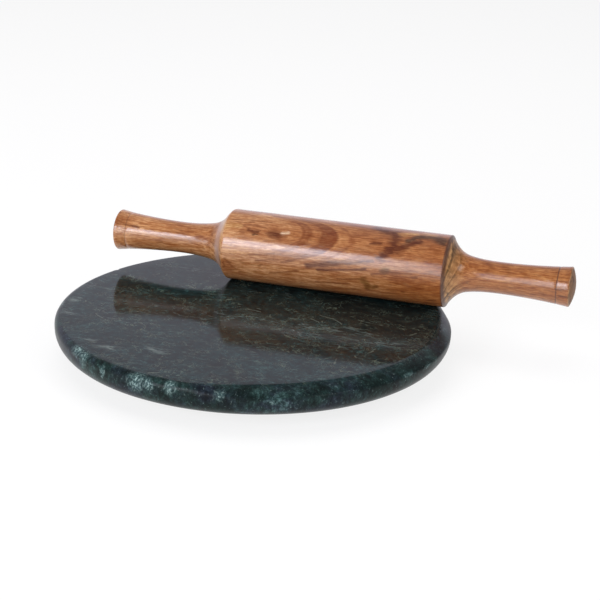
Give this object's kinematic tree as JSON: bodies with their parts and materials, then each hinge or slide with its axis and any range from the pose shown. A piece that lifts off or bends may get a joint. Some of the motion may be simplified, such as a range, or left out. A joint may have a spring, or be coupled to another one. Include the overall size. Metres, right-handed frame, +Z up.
{
  "type": "chakla rolling board with rolling pin",
  "caption": "Round polished marble rolling board on low stone feet, with a turned wooden rolling pin that travels across its flat face.",
  "frame": {"origin": "on the table, under the middle of the box round the board and the pin at rest", "axes": "+Z up, out of the rolling face, +X along the pin's axis (to the right as the cook stands), -Y towards the cook"},
  "size_m": [0.3232, 0.254, 0.0761],
  "materials": {
    "green_marble": "mirror polished",
    "varnished_hardwood": "satin varnish"
  },
  "bodies": {
    "board": {"board_slab": "green_marble", "foot_rear": "green_marble", "foot_left": "green_marble", "foot_right": "green_marble"},
    "pin": {"rolling_pin": "varnished_hardwood"}
  },
  "joints": [
    {"name": "pin_rolling_stroke", "type": "slide", "parent": "board", "child": "pin", "axis": [0, 1, 0], "range_m": [-0.13, 0.02]}
  ]
}
